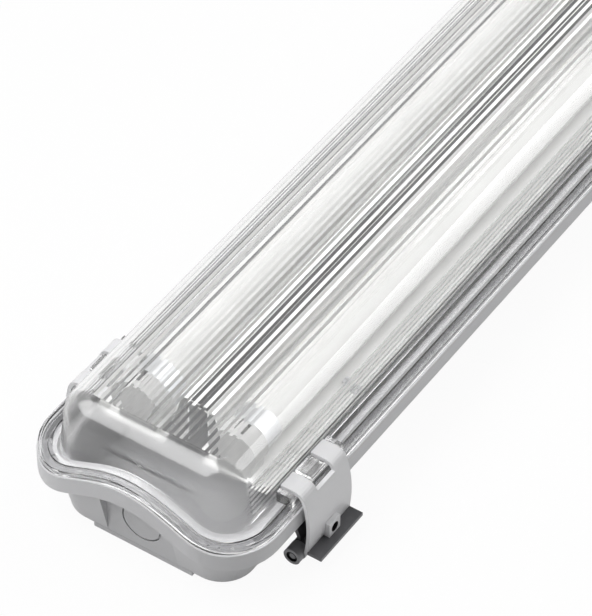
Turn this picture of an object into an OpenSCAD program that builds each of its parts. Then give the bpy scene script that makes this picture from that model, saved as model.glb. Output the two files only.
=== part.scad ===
// Vapor tight ceiling light fixture for two linear lamps, lying on its back with the lens up.
// X runs along the fixture, Y across it and Z up from the mounting face. All sizes are in millimetres.

/* [Fixture] */
// Glass-to-glass length of a lamp without its pins
lamp_length = 1199.4; // [589.8:0.1:1500]
// Room between the end of a lamp and the end of the rim
end_room = 75.3; // [60:0.1:90]
// Width over the rim
fixture_width = 160; // [150:1:190]
// Radius of the rim's corners
corner_radius = 38; // [32:1:42]

/* [Housing] */
// Height of the rim's sealing edge along the sides
rim_height = 44; // [42:1:48]
// Rise of the rim's arch in the middle of each end
arch_rise = 20; // [8:1:22]
// Distance from the rim's side to the foot of the arch
arch_inset = 10; // [8:1:16]
// Wall thickness of the housing
housing_wall = 2.5; // [2:0.1:3.5]
// Height of the outer skirt below the rim's edge
skirt_height = 12; // [10:0.5:14]
// Depth of the gasket groove
groove_depth = 5; // [4:0.5:6]
// Width of the gasket groove
groove_width = 7; // [6:0.5:8]
// Width of the rim shelf along the sides
side_shelf = 16; // [15:0.5:18]
// Width of the rim shelf across the ends
end_shelf = 19.5; // [19:0.5:22]
// Inset of the back's edge from the rim along the sides
back_inset = 18; // [17:0.5:22]
// Inset of the back's edge from the rim at the ends
back_end_inset = 17; // [16:0.5:18]
// Lean of the side walls over their height
side_draft = 8.5; // [6:0.5:10]
// Lean of the end walls over their height
end_draft = 13; // [8:0.5:13]
// Corner radius of the back
back_radius = 21; // [16:1:26]
// Width of the flat pads that the back rests on
foot_width = 69; // [60:1:74]
// Height of the pads below the housing's floor
foot_height = 3; // [2:0.5:4]

/* [Cable entry] */
// Height of the cable entry's centre
entry_height = 24; // [22:0.5:28]
// Radius of the cable entry's knock-out and hole
entry_radius = 12.6; // [10:0.1:13]
// Width of the flat recess around the entry
recess_width = 49; // [44:1:54]
// Height of the recess's lower edge above the back
recess_floor = 3; // [3:0.5:8]
// Thickness left at the knock-out's groove
knockout_skin = 1; // [0.8:0.1:1.5]
// Width of the knock-out's groove
knockout_groove = 1.2; // [0.8:0.1:2]
// Radius of the cable hole through the gland's seal
cable_radius = 5; // [3:0.1:6]
// Radius over the corners of the gland's six-sided parts
gland_hex_radius = 15; // [14.4:0.1:15.4]
// Length of the gland's dome nut
dome_length = 17; // [14:0.5:24]

/* [Ceiling fixing] */
// Distance between the two screw holes in the back
fixing_spacing = 850; // [400:10:1100]
// Radius of a screw hole in the back
fixing_hole_radius = 3; // [2:0.1:4]

/* [Lens] */
// Wall thickness of the lens
lens_wall = 2.2; // [1.8:0.1:3]
// Inset of the lens wall's foot from the rim along the sides
lens_inset = 14; // [13:0.5:15]
// Inset of the lens wall's foot from the rim at the ends
lens_end_inset = 11; // [10:0.5:14]
// Lean of the lens walls along the sides
lens_draft = 4; // [2:0.5:6]
// Lean of the lens walls at the ends
lens_end_draft = 11; // [4:0.5:12]
// Shoulder radius of the lens
shoulder_radius = 12; // [9:0.5:14]
// Thickness of the lens flange
flange_thickness = 3; // [2.5:0.1:4]
// Distance between two prisms of the lens
prism_pitch = 4.4; // [3.5:0.1:6]
// Depth of a prism
prism_depth = 0.5; // [0.3:0.1:1.2]
// Distance from the rim's end to the ends of the prisms
prism_end_inset = 36; // [34:1:60]

/* [Latches] */
// Distance from the rim's end to the middle of the first latch
latch_end_distance = 82; // [75:1:120]
// Width of a latch
latch_width = 43; // [40:1:50]
// Thickness of a latch's plate
latch_plate = 2.4; // [1.8:0.1:2.6]
// Width of the window between a latch's fingers
window_width = 18; // [14:1:20]
// Radius of the hinge pins
pin_radius = 2; // [1.8:0.1:2.2]
// Radial play of a pin in a moving eye
pin_play = 0.06; // [0.04:0.01:0.09]
// Outer radius of the rolled barrel
barrel_radius = 5.6; // [5:0.1:5.8]
// How far the rolled barrel reaches past the plate at each side
barrel_overhang = 4.5; // [3:0.5:6]
// Reach of the finger tab
tab_reach = 9; // [6:0.5:12]

/* [Lamps] */
// Radius of a lamp's glass tube
tube_radius = 13; // [12.5:0.1:13]
// Room between a lamp and the gear tray's flat under it
lamp_room = 3.5; // [3:0.1:6]
// Room between a lamp and the prisms of the lens over it
lens_room = 11.3; // [8:0.1:24]
// Length of a lamp's end cap
cap_length = 14; // [10:1:20]
// Distance between a lamp's two pins
lamp_pin_spacing = 12.7; // [12.5:0.1:13]
// Radius of a lamp's pin
lamp_pin_radius = 1.2; // [1.1:0.05:1.25]
// Length of a lamp's pin
lamp_pin_length = 7; // [6.5:0.1:7.5]

/* [Lampholders] */
// Thickness of a lampholder
holder_thickness = 13; // [12:0.5:16]
// Radius of a lampholder's round head
holder_radius = 14.5; // [13.5:0.5:15]
// Radius of the turning collar
collar_radius = 9.6; // [9.2:0.1:10]
// Thickness of the turning collar
collar_thickness = 3; // [2.5:0.1:4]
// Width of the slot that the pins enter by
pin_slot = 3; // [2.8:0.1:3.4]

/* [Gear tray] */
// Thickness of the tray's sheet
tray_sheet = 1; // [0.8:0.1:1.5]
// Height of the tray's flats above the rim's edge along the sides
tray_lift = 2; // [1:0.5:3]
// Room between the tray's edge and the foot of the lens wall
tray_room = 3.8; // [3.2:0.1:8]
// Rise of the tray's outer wings
wing_rise = 5; // [3:0.5:5]
// Height of the raised spine above the flats
spine_rise = 25; // [16:1:30]
// Half width of the spine at its top
spine_half_top = 9; // [8.5:0.5:10]
// Half width of the spine at its foot
spine_half_foot = 13; // [12:0.5:14]
// Width of the dark cover strip on the spine
strip_width = 8.5; // [7:0.5:16]
// Distance from the tray's end to the outer tray posts
post_end_distance = 95.9; // [60:0.1:300]
// Radius of a tray post
post_radius = 4.5; // [4:0.5:5]

/* [Control gear] */
// Length of the electronic ballast
ballast_length = 280; // [200:5:360]
// Width of the electronic ballast
ballast_width = 34; // [28:1:36]
// Height of the electronic ballast
ballast_height = 26; // [20:1:30]
// Room between the ballast and the tray posts beside it
ballast_room = 1; // [0.5:0.1:2]
// Number of ways of the terminal block
terminal_ways = 5; // [3:1:6]
// Distance between two ways of the terminal block
terminal_pitch = 10; // [8:0.5:12]
// Radius of a lead
lead_radius = 1.3; // [1:0.1:1.6]

/* [Hidden] */

// Steps of the curves that end up as flat facets
smooth = 32;
// Steps of the round curves
round_steps = 64;
// Steps of the rim's arch
wave_steps = 24;
// Overrun of a cut past the face that it opens
cut = 1;
// Overlap by which joined solids share volume
lap = 0.2;
// Gap between faces of different pieces that stay apart
gap = 0.3;
// Play of a threaded or guided fit that shows no thread
thread_play = 0.1;

// Half of the rim's length and width
half_length = lamp_length / 2 + end_room;
half_width = fixture_width / 2;
// Middle of the gear tray's sheet in its flats, axis of the lamps over it and top of the lens
tray_height = rim_height + tray_lift;
lamp_height = tray_height + tray_sheet / 2 + lamp_room + tube_radius;
fixture_height = lamp_height + tube_radius + lens_room + prism_depth + lens_wall;
// Underside of the rim's shelf, below the rim's edge
shelf_low = groove_depth + housing_wall;
// Inset of the groove's inner side from the rim
lip_outer = housing_wall + groove_width;
// Height at which the drafted walls reach their full lean
draft_height = rim_height + arch_rise;
// Outer face of the flat recess around the cable entry
recess_plane = half_length - back_end_inset + lap;
// Inset of the end pads from the rim's end
foot_end = back_end_inset - lap;
// Length of a pad under the back
foot_length = 40;
// Upper face of the housing's floor
floor_top = foot_height + housing_wall;
// Middles of the pads along the fixture
foot_places = [foot_end - half_length + foot_length / 2, -fixing_spacing / 2, 0, fixing_spacing / 2,
    half_length - foot_end - foot_length / 2];

// Half width of the arch, and of the lens wall's upright middle under its crest
arch_half_width = half_width - arch_inset;
arch_crest = arch_half_width / 3;
// Inset of the lens flange's edge from the rim
flange_edge = 0.8;
// Height of the lens flange above the rim's edge
flange_gap = 0.4;
// Raised bead along the edge of the flange
bead_height = 1.6;
bead_width = 2;
// Tongue under the flange that presses the gasket
tongue_width = 2.6;
// Gasket section in the groove
gasket_side_gap = 0.3;
gasket_height = 3.6;
// Seats on the flange under the latch fingers
seat_depth = 9;
finger_gap = 0.3;
// Lug that stands in a latch's window
lug_height = 2.6;
lug_half = 6.5;
// Guides on both sides of a latch
guide_thickness = 3.4;
guide_gap = 1.2;
guide_height = 1.6;

// Latches along each side, and the distance between the outer two
latch_count = 3;
latch_span = 2 * (half_length - latch_end_distance);
// Hinge on the housing: inset from the rim's side and height over the back
root_inset = 8.5;
root_height = 23;
ear_thickness = 3;
ear_radius = 3.6;
// Link strap between the two hinges
link_width = 34;
// Hinge in the rolled barrel: inset from the rim's side, and room and height over the back
barrel_inset = 3.5;
barrel_room = 0.6;
barrel_height = barrel_radius + barrel_room;
// Length of the barrel and of the wide mouths in its ends, where the pin shows
barrel_length = latch_width + 2 * barrel_overhang;
mouth_radius = 3.6;
mouth_depth = 1.5;
// How far the latch plate bulges past the rim's side
latch_bulge = 4.8;
// Points of the plate's side view, as shares of its reach and of its height
latch_path_shares = [[0, 0], [0.5, 0], [0.72, 0.03], [0.85, 0.12], [0.93, 0.25], [0.98, 0.38], [1, 0.52],
    [0.985, 0.66], [0.95, 0.78], [0.88, 0.89], [0.74, 0.97], [0.55, 1]];
// Steps of the smooth curve between two of these points
path_steps = 3;
// Height of the latch fingers' underside over the rim's edge
finger_seat = 10;
// Height of the finger tab's underside over the back
tab_level = 8.6;
// Height of the window's lower edge over the rim's edge
window_floor = 6.5;
// Small boss on the latch plate with a hole through it
boss_width = 11;
boss_height = 11;
boss_depth = 4;
boss_hole_radius = 3.2;
boss_level = 16;

// Half width of the tray and of its flats
tray_half_width = half_width - lens_inset - lens_wall - tray_room;
flat_edge = tray_half_width - wing_rise;
// Distance across from the fixture's middle to a lamp's axis, over the middle of a flat
lamp_offset = (spine_half_foot + flat_edge) / 2;
// Distance between a lamp's end cap and the lampholder's face
holder_gap = 1.2;
holder_foot_width = 24;
// Depth of the lampholder's cavity behind the collar
cavity_depth = 9;
// Fit of the turning collar and the wall that closes its slot
collar_play = 0.06;
collar_wall = 1.6;
// Contact blades beside the pins
contact_thickness = 0.8;
contact_width = 5;
contact_length = 5;
// Lamp details: seam of the glass, glass thickness and how deep a pin sits in its cap
cap_lip = 0.3;
glass_wall = 0.8;
pin_root = 3;

// Reach of the gear tray past the lampholders
tray_overhang = 2;
tray_half = lamp_length / 2 + holder_gap + holder_thickness + tray_overhang;
// Length by which the spine and its cover strip stop short of the tray's end
spine_short = holder_thickness + tray_overhang;
// Screws of the tray: shank, head and cross recess
screw_radius = 1.9;
screw_head_radius = 3.2;
screw_head_height = 2;
screw_depth = 12;
screw_driver_width = 1;
screw_driver_depth = 0.8;
// Places of the tray posts: the screw heads lie just inside the wings
post_reach = tray_half - post_end_distance;
post_offset = flat_edge - screw_head_radius - gap;

// Ballast under the tray: its place beside the posts, length of its fixing feet and its screws
ballast_top = tray_height - tray_sheet / 2;
ballast_offset = post_offset - post_radius - ballast_room - ballast_width / 2;
ballast_foot = 10;
ballast_screw_radius = 1.6;
ballast_screw_offset = (spine_half_foot + post_offset - post_radius) / 2;
// Terminal block on the floor
terminal_depth = 18;
terminal_height = 15;
terminal_screw_radius = 2;
terminal_wall = 1.4;
terminal_end = 150;
terminal_room = 8;
terminal_side = post_offset - post_radius - terminal_room - terminal_depth / 2;
terminal_x = half_length - terminal_end;
terminal_length = terminal_ways * terminal_pitch;
// Earth stud and its two nuts
stud_radius = 2.5;
stud_height = 14;
stud_nut_radius = 4.6;
stud_nut_height = 3.2;
stud_side = 6;
// Grommets in the screw holes of the back
grommet_lip = 2;
grommet_thickness = 1.2;
// Leads: number to the ballast, distance side by side, straight run beside a bend, facets around
supply_count = 3;
lead_lane = 4;
lead_bend = 10;
lead_sides = 8;

// Cable gland: flange, washer, locknut, thread behind the wall and collar inside the dome nut
shank_radius = entry_radius - thread_play;
gland_flange = 6;
gland_washer_thickness = 1.6;
locknut_thickness = 5;
locknut_radius = 15;
gland_tail = 8;
gland_collar = 7;
seal_wall = 3;
// Inner face of the lampholders along the fixture
holder_face = lamp_length / 2 + holder_gap;

// Height that the rim's arch adds at a distance across from the middle
function wave(y) = abs(y) >= arch_half_width ? 0
    : arch_rise * (1 + cos(180 * y / arch_half_width)) / 2;

// Thick open line through a list of points, as one closed outline
function unit(v) = v / norm(v);
function side_of(v) = [-v.y, v.x];
function corner_offset(p, i) = i == 0 ? side_of(unit(p[1] - p[0]))
    : i == len(p) - 1 ? side_of(unit(p[i] - p[i - 1]))
    : let(a = side_of(unit(p[i] - p[i - 1])), b = side_of(unit(p[i + 1] - p[i])))
        (a + b) / (1 + a * b);
function ribbon(p, t) = concat([for (i = [0 : len(p) - 1]) p[i] + corner_offset(p, i) * t / 2],
    [for (i = [len(p) - 1 : -1 : 0]) p[i] - corner_offset(p, i) * t / 2]);

// Smooth curve through a list of points
function curve_point(a, b, c, d, t) = b + (c - a) * t / 2
    + (a - b * 5 / 2 + c * 2 - d / 2) * t * t + ((b - c) * 3 / 2 + (d - a) / 2) * t * t * t;
function smooth_curve(p, steps) = concat([for (i = [0 : len(p) - 2], k = [0 : steps - 1])
    curve_point(p[max(i - 1, 0)], p[i], p[i + 1], p[min(i + 2, len(p) - 1)], k / steps)], [p[len(p) - 1]]);

// Flat rectangle with round corners, centred
module outline(length, width, radius) {
    square([2 * length, 2 * (width - radius)], center = true);
    square([2 * (length - radius), 2 * width], center = true);
    for (sx = [-1, 1], sy = [-1, 1])
        translate([sx * (length - radius), sy * (width - radius)]) circle(r = radius, $fn = round_steps);
}

// Rim outline pulled in by one distance at the ends and another along the sides
module inset_outline(end_in, side_in) {
    outline(half_length - end_in, half_width - side_in, corner_radius - min(end_in, side_in));
}

// Slab that follows the rim's arch between two heights over the rim's edge
module band(low, high) {
    ys = concat([-fixture_width], [for (i = [0 : wave_steps])
        arch_half_width * (2 * i / wave_steps - 1)], [fixture_width]);
    rotate([90, 0, 90]) linear_extrude(height = 2 * half_length + fixture_width, center = true)
        polygon(concat([for (y = ys) [y, rim_height + low + wave(y)]],
            [for (i = [len(ys) - 1 : -1 : 0]) [ys[i], rim_height + high + wave(ys[i])]]));
}

// Ring along the rim between two insets, following the arch
module rim_ring(outer_in, end_in, side_in, low, high) {
    intersection() {
        linear_extrude(height = 2 * fixture_height) difference() {
            inset_outline(outer_in, outer_in);
            inset_outline(end_in, side_in);
        }
        band(low, high);
    }
}

// Drafted tub, shrunk by a wall on all sides
module tub(wall) {
    hull() {
        translate([0, 0, foot_height + wall]) linear_extrude(height = lap)
            outline(half_length - back_end_inset - wall, half_width - back_inset - wall, back_radius - wall,
                $fn = smooth);
        translate([0, 0, draft_height]) linear_extrude(height = lap)
            outline(half_length - back_end_inset + end_draft - wall,
                half_width - back_inset + side_draft - wall, back_radius + side_draft - wall, $fn = smooth);
    }
}

// Children as drawn, or mirrored along X or Y where the direction is negative
module along_x(direction) {
    if (direction < 0) mirror([1, 0, 0]) children();
    else children();
}

module along_y(direction) {
    if (direction < 0) mirror([0, 1, 0]) children();
    else children();
}

// Block cut from both end walls, which leaves a flat upright recess
module recesses(inset, widen, floor_up) {
    for (s = [-1, 1]) along_x(s)
        translate([recess_plane - inset, -recess_width / 2 - widen, floor_up])
            cube([back_end_inset + inset, recess_width + 2 * widen, draft_height]);
}

// Places of all the latches
module at_latches() {
    for (i = [0 : 2 * latch_count - 1]) at_latch(i) children();
}

// Latch number i: the first three are on the -Y side, the others on the +Y side
module at_latch(i) {
    side = i < latch_count ? 1 : -1;
    x = -latch_span / 2 + (i % latch_count) * latch_span / (latch_count - 1);
    translate([x, 0, 0]) along_y(side) translate([0, -half_width, 0]) children();
}

// Cylinder along X, centred
module rod(radius, length) {
    rotate([0, 90, 0]) cylinder(r = radius, h = length, center = true, $fn = round_steps);
}

// Post along X that starts at the origin
module axle(radius, length) {
    rotate([0, 90, 0]) cylinder(r = radius, h = length, $fn = round_steps);
}

// Two ears below the rim's shelf that carry a latch's upper hinge pin
module latch_ears() {
    for (s = [-1, 1]) translate([s * (link_width / 2 + gap + ear_thickness / 2), root_inset, root_height]) {
        rod(ear_radius, ear_thickness);
        translate([-ear_thickness / 2, -ear_radius, 0])
            cube([ear_thickness, 2 * ear_radius, rim_height - shelf_low - root_height + lap]);
        translate([-ear_thickness / 2, 0, -ear_radius])
            cube([ear_thickness, back_inset - side_draft * root_height / draft_height - root_inset,
                2 * ear_radius]);
    }
}

// Places of the posts under the gear tray and of their screws
module at_posts() {
    for (x = [-post_reach, 0, post_reach], y = [-post_offset, post_offset]) translate([x, y, 0]) children();
}

// Places of the two screw holes in the back
module at_fixings() {
    for (s = [-1, 1]) translate([s * fixing_spacing / 2, 0, 0]) children();
}

// Moulded tub with its arched rim, gasket groove, pads, posts, ears, entry and knock-out
module housing() {
    color([0.76, 0.76, 0.77]) difference() {
        union() {
            difference() {
                intersection() {
                    tub(0);
                    band(-draft_height, -groove_depth - lap);
                }
                recesses(0, 0, recess_floor);
            }
            rim_ring(0, housing_wall, housing_wall, -skirt_height, 0);
            rim_ring(0, end_shelf, side_shelf, -shelf_low, -groove_depth);
            rim_ring(lip_outer, lip_outer + housing_wall, lip_outer + housing_wall,
                -groove_depth - lap, -gap);
            at_latches() latch_ears();
            for (x = foot_places) translate([x - foot_length / 2, -foot_width / 2, 0])
                cube([foot_length, foot_width, foot_height + lap]);
        }
        difference() {
            intersection() {
                tub(housing_wall);
                band(-draft_height, -shelf_low);
            }
            recesses(housing_wall, housing_wall, 0);
            at_posts() cylinder(r = post_radius, h = tray_height - tray_sheet / 2, $fn = round_steps);
        }
        translate([0, 0, rim_height - shelf_low - cut]) linear_extrude(height = fixture_height) difference() {
            inset_outline(end_shelf, side_shelf);
            for (x = [-post_reach, 0, post_reach], y = [-post_offset, post_offset])
                translate([x, y]) circle(r = post_radius, $fn = round_steps);
        }
        translate([0, 0, tray_height - tray_sheet / 2]) linear_extrude(height = fixture_height)
            inset_outline(end_shelf, side_shelf);
        at_posts() translate([0, 0, tray_height - screw_depth])
            cylinder(r = screw_radius - lap, h = screw_depth, $fn = round_steps);
        at_latches() translate([0, root_inset, root_height]) rod(pin_radius, latch_width);
        at_fixings() translate([0, 0, -cut]) cylinder(r = fixing_hole_radius + grommet_thickness,
            h = floor_top + 2 * cut, $fn = round_steps);
        translate([recess_plane - 2 * housing_wall, 0, entry_height]) axle(entry_radius, back_end_inset);
        translate([-recess_plane - lap, 0, entry_height]) rotate([0, 90, 0]) difference() {
            cylinder(r = entry_radius + knockout_groove, h = housing_wall - knockout_skin + lap,
                $fn = round_steps);
            translate([0, 0, -cut]) cylinder(r = entry_radius, h = housing_wall + 2 * cut, $fn = round_steps);
        }
    }
}

// Foamed seal that fills most of the groove
module gasket() {
    color([0.35, 0.35, 0.36]) rim_ring(housing_wall + gasket_side_gap, lip_outer - gasket_side_gap,
        lip_outer - gasket_side_gap, -groove_depth, -groove_depth + gasket_height);
}

// Outer or inner skin of the lens, pulled in by a wall and started at a base height
module lens_shell(wall, base) {
    plan_radius = corner_radius - lens_inset - lens_draft;
    top_out = half_length - lens_end_inset - lens_end_draft - plan_radius;
    side_out = half_width - lens_inset - lens_draft - plan_radius;
    hull() {
        translate([0, 0, base]) linear_extrude(height = lap)
            outline(half_length - lens_end_inset - wall, half_width - lens_inset - wall,
                corner_radius - lens_inset - wall, $fn = smooth);
        translate([0, 0, rim_height + arch_rise]) linear_extrude(height = lap)
            outline(half_length - lens_end_inset - wall, arch_crest, arch_crest / 2, $fn = smooth);
        for (sx = [-1, 1], sy = [-1, 1])
            translate([sx * top_out, sy * side_out,
                fixture_height - shoulder_radius]) rotate_extrude($fn = smooth) intersection() {
                    translate([plan_radius - shoulder_radius, 0])
                        circle(r = shoulder_radius - wall, $fn = smooth);
                    translate([0, -shoulder_radius]) square([plan_radius, 2 * shoulder_radius]);
                }
    }
}

// Lengthwise prisms under the lens's ceiling
module lens_prisms() {
    count = floor(2 * (half_width - lens_inset - lens_draft - shoulder_radius) / prism_pitch);
    ceiling = fixture_height - lens_wall;
    rotate([90, 0, 90]) linear_extrude(height = 2 * (half_length - prism_end_inset), center = true)
        polygon(concat([for (i = [0 : 2 * count])
            [(i - count) * prism_pitch / 2, ceiling - (i % 2 == 1 ? prism_depth : 0)]],
            [[count * prism_pitch / 2, ceiling + lap], [-count * prism_pitch / 2, ceiling + lap]]));
}

// Seats and guides on the lens flange where a latch's fingers lie
module lens_lugs() {
    seat_top = rim_height + finger_seat - finger_gap;
    low = rim_height + flange_gap + flange_thickness - lap;
    seat_back = lens_inset + lap;
    translate([-latch_width / 2 - guide_gap, seat_back - seat_depth, low])
        cube([latch_width + 2 * guide_gap, seat_depth, seat_top - low]);
    translate([-lug_half, seat_back - seat_depth - lug_height, low])
        cube([2 * lug_half, seat_depth + lug_height, seat_top + lug_height - low]);
    for (s = [-1, 1]) translate([s * (latch_width / 2 + guide_gap + guide_thickness / 2), 0, 0])
        translate([-guide_thickness / 2, flange_edge + bead_width, low])
            cube([guide_thickness, seat_back - flange_edge - bead_width, seat_top + guide_height - low]);
}

// Clear cover: flange with its bead and tongue, drafted walls, prisms and latch seats
module lens() {
    color([0.9, 0.93, 0.95, 0.35]) {
        difference() {
            union() {
                rim_ring(flange_edge, end_shelf, side_shelf, flange_gap, flange_gap + flange_thickness);
                rim_ring(flange_edge, flange_edge + bead_width, flange_edge + bead_width,
                    flange_gap, flange_gap + flange_thickness + bead_height);
                intersection() {
                    lens_shell(0, rim_height - shelf_low);
                    band(flange_gap, fixture_height);
                }
                at_latches() lens_lugs();
            }
            lens_shell(lens_wall, rim_height - shelf_low - cut);
        }
        lens_prisms();
        tongue_in = housing_wall + (groove_width - tongue_width) / 2;
        rim_ring(tongue_in, tongue_in + tongue_width, tongue_in + tongue_width,
            -groove_depth + gasket_height, flange_gap + lap);
    }
}

// Section of the gear tray, from one wing over the spine to the other
module tray_section(sheet) {
    polygon(ribbon([[-tray_half_width, tray_height + wing_rise], [-flat_edge, tray_height],
        [-spine_half_foot, tray_height], [-spine_half_top, tray_height + spine_rise],
        [spine_half_top, tray_height + spine_rise], [spine_half_foot, tray_height],
        [flat_edge, tray_height], [tray_half_width, tray_height + wing_rise]], sheet));
}

// Folded white tray over the whole length, screwed to the posts
module gear_tray() {
    color([0.95, 0.95, 0.94]) difference() {
        rotate([90, 0, 90]) linear_extrude(height = 2 * tray_half, center = true) tray_section(tray_sheet);
        for (s = [-1, 1]) along_x(s)
            translate([tray_half - spine_short, -spine_half_foot - tray_sheet, tray_height - tray_sheet])
                cube([spine_short + cut, 2 * (spine_half_foot + tray_sheet), spine_rise + 2 * tray_sheet]);
        at_posts() translate([0, 0, tray_height - tray_sheet])
            cylinder(r = screw_radius + gap, h = 2 * tray_sheet, $fn = round_steps);
        at_ballast_screws() translate([0, 0, tray_height - tray_sheet])
            cylinder(r = ballast_screw_radius + gap, h = 2 * tray_sheet, $fn = round_steps);
    }
}

// Dark cover strip along the top of the spine
module wiring_strip() {
    color([0.08, 0.08, 0.09]) translate([0, 0, tray_height + spine_rise + tray_sheet / 2])
        rotate([90, 0, 90]) linear_extrude(height = 2 * (tray_half - spine_short), center = true)
            polygon([[-strip_width / 2, 0], [strip_width / 2, 0],
                [strip_width / 2 - tray_sheet, tray_sheet], [tray_sheet - strip_width / 2, tray_sheet]]);
}

// Pan-head screw, head seated at the origin, shank down
module screw(shank, head, head_height, depth) {
    difference() {
        union() {
            cylinder(r = head, h = head_height, $fn = round_steps);
            translate([0, 0, -depth]) cylinder(r = shank, h = depth + lap, $fn = round_steps);
        }
        for (a = [0, 90]) rotate(a)
            translate([-head * 2 / 3, -screw_driver_width / 2, head_height - screw_driver_depth])
                cube([head * 4 / 3, screw_driver_width, cut + screw_driver_depth]);
    }
}

// Six screws through the tray into the posts
module tray_screws() {
    color([0.7, 0.7, 0.72]) at_posts() translate([0, 0, tray_height + tray_sheet / 2])
        screw(screw_radius - lap, screw_head_radius, screw_head_height, screw_depth - cut);
}

// Places of the two screws at the ballast's ends
module at_ballast_screws() {
    for (s = [-1, 1])
        translate([s * (ballast_length - ballast_foot) / 2, ballast_screw_offset, 0]) children();
}

// Electronic ballast under the tray, with a fixing foot at each end
module ballast() {
    chamfer = ballast_foot / 3;
    color([0.85, 0.86, 0.87]) difference() {
        union() {
            translate([0, ballast_offset, ballast_top]) rotate([90, 0, 90])
                linear_extrude(height = ballast_length - 2 * ballast_foot, center = true)
                    polygon([[-ballast_width / 2, 0], [ballast_width / 2, 0],
                        [ballast_width / 2, chamfer - ballast_height],
                        [ballast_width / 2 - chamfer, -ballast_height],
                        [chamfer - ballast_width / 2, -ballast_height],
                        [-ballast_width / 2, chamfer - ballast_height]]);
            translate([-ballast_length / 2, ballast_offset - ballast_width / 2, ballast_top - 2 * tray_sheet])
                cube([ballast_length, ballast_width, 2 * tray_sheet]);
        }
        at_ballast_screws() translate([0, 0, ballast_top - ballast_foot])
            cylinder(r = ballast_screw_radius, h = 2 * ballast_foot, $fn = round_steps);
    }
}

// Screws through the tray into the ballast's feet
module ballast_screws() {
    color([0.7, 0.7, 0.72]) at_ballast_screws() translate([0, 0, tray_height + tray_sheet / 2])
        screw(ballast_screw_radius, 2 * ballast_screw_radius, screw_head_height, ballast_foot - cut);
}

// Places of the terminal block's ways
module at_ways() {
    for (i = [0 : terminal_ways - 1])
        translate([terminal_x - terminal_length / 2 + (i + 1 / 2) * terminal_pitch,
            -terminal_side, floor_top]) children();
}

// Supply terminal block on the floor, with notches between its ways
module terminal_block() {
    color([0.93, 0.93, 0.9]) difference() {
        translate([terminal_x - terminal_length / 2, -terminal_side - terminal_depth / 2, floor_top])
            cube([terminal_length, terminal_depth, terminal_height]);
        at_ways() {
            for (s = [-1, 1]) translate([0, s * terminal_depth / 4, terminal_height / 2])
                cylinder(r = terminal_screw_radius + gap, h = terminal_height, $fn = round_steps);
            translate([0, 0, terminal_height / 3]) rotate([90, 0, 0])
                cylinder(r = lead_radius + gap, h = terminal_depth + cut, center = true, $fn = round_steps);
            translate([terminal_pitch / 2 - terminal_wall / 2, -terminal_depth, terminal_height * 2 / 3])
                cube([terminal_wall, 2 * terminal_depth, terminal_height]);
        }
    }
}

// Two clamping screws in each way
module terminal_screws() {
    color([0.8, 0.68, 0.35]) at_ways() for (s = [-1, 1])
        translate([0, s * terminal_depth / 4, terminal_height / 2])
            difference() {
                cylinder(r = terminal_screw_radius, h = terminal_height / 4, $fn = round_steps);
                translate([-terminal_screw_radius, -screw_driver_width / 2,
                    terminal_height / 4 - screw_driver_depth])
                    cube([2 * terminal_screw_radius, screw_driver_width, cut + screw_driver_depth]);
            }
}

// Sealing grommets in the two screw holes of the back
module fixing_grommets() {
    color([0.12, 0.12, 0.12]) at_fixings() difference() {
        union() {
            cylinder(r = fixing_hole_radius + grommet_thickness, h = floor_top + lap, $fn = round_steps);
            translate([0, 0, floor_top]) cylinder(r = fixing_hole_radius + grommet_thickness + grommet_lip,
                h = grommet_thickness, $fn = round_steps);
        }
        translate([0, 0, -cut]) cylinder(r = fixing_hole_radius, h = floor_top + 2 * cut + grommet_thickness,
            $fn = round_steps);
    }
}

// Threaded stud with two nuts for the earth lead
module earth_stud() {
    color([0.8, 0.68, 0.35]) translate([terminal_x + terminal_length, stud_side, 0]) {
        translate([0, 0, floor_top]) cylinder(r = stud_radius, h = stud_height, $fn = round_steps);
        for (level = [0, stud_height / 2]) translate([0, 0, floor_top + level])
            cylinder(r = stud_nut_radius, h = stud_nut_height, $fn = 6);
    }
}

// Everything of the gland is drawn along X from the outer face of the end wall
module at_entry() {
    translate([recess_plane, 0, entry_height]) children();
}

// Bore from behind the gland's thread to past the tip of its dome nut
module gland_bore(radius) {
    back = housing_wall + gland_tail + cut;
    translate([-back, 0, 0])
        axle(radius, back + gland_washer_thickness + gland_flange + dome_length + cut);
}

// Gland body with its six-sided flange, thread through the wall and collar for the seal
module gland_body() {
    color([0.78, 0.78, 0.78]) at_entry() difference() {
        union() {
            translate([gland_washer_thickness, 0, 0]) rotate([0, 90, 0])
                cylinder(r = gland_hex_radius, h = gland_flange, $fn = 6);
            translate([-housing_wall - gland_tail, 0, 0])
                axle(shank_radius, housing_wall + gland_tail + gland_washer_thickness + lap);
            translate([gland_washer_thickness + gland_flange - lap, 0, 0])
                axle(cable_radius + 2 * seal_wall - gap, gland_collar);
        }
        gland_bore(cable_radius + seal_wall);
    }
}

// Rubber sleeve that closes round the cable
module gland_seal() {
    color([0.15, 0.15, 0.15]) at_entry() difference() {
        axle(cable_radius + seal_wall, gland_washer_thickness + gland_flange + gland_collar - lap);
        gland_bore(cable_radius);
    }
}

// Dome nut that squeezes the seal
module gland_nut() {
    start = gland_washer_thickness + gland_flange;
    tip_radius = cable_radius + 2 * seal_wall;
    color([0.78, 0.78, 0.78]) at_entry() difference() {
        union() {
            translate([start, 0, 0]) rotate([0, 90, 0])
                cylinder(r = gland_hex_radius - gap, h = dome_length / 2, $fn = 6);
            translate([start + dome_length / 2 - lap, 0, 0]) rotate([0, 90, 0])
                cylinder(r1 = tip_radius + seal_wall / 2, r2 = tip_radius, h = dome_length / 2,
                    $fn = round_steps);
        }
        translate([start - cut, 0, 0]) axle(tip_radius - gap / 2, gland_collar + cut);
        gland_bore(cable_radius + gap);
    }
}

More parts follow.
